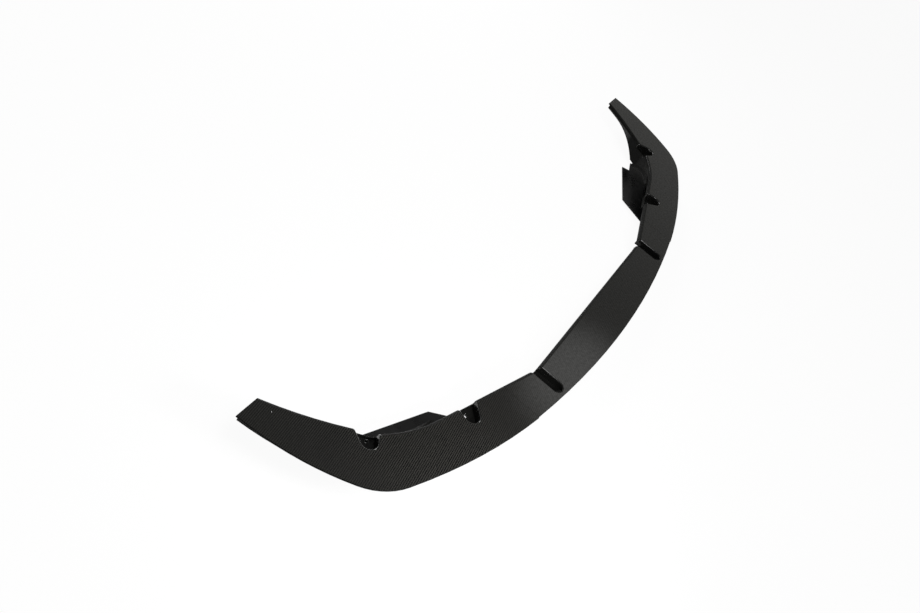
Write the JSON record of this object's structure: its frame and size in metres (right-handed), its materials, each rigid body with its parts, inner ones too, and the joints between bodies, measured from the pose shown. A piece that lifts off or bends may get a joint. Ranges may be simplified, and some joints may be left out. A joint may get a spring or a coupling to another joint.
{
  "type": "front splitter lip",
  "caption": "Carbon-fibre front splitter lip: a thin bowed blade with swept-back arms, screw pockets along its rolled rear edge and a black duct tray bonded under each wing.",
  "frame": {"origin": "midway between the two outer screw holes, on the pocket floors", "axes": "+X across the car towards the right-hand tip, -Y towards the leading edge, +Z out of the face with the screw pockets"},
  "size_m": [1.809, 0.445, 0.0755],
  "materials": {
    "carbon": "clear-coated carbon twill",
    "tray_black": "plain moulded black"
  },
  "bodies": {
    "root": {"splitter_lip": "carbon", "left_duct_tray": "tray_black", "right_duct_tray": "tray_black"}
  },
  "joints": []
}
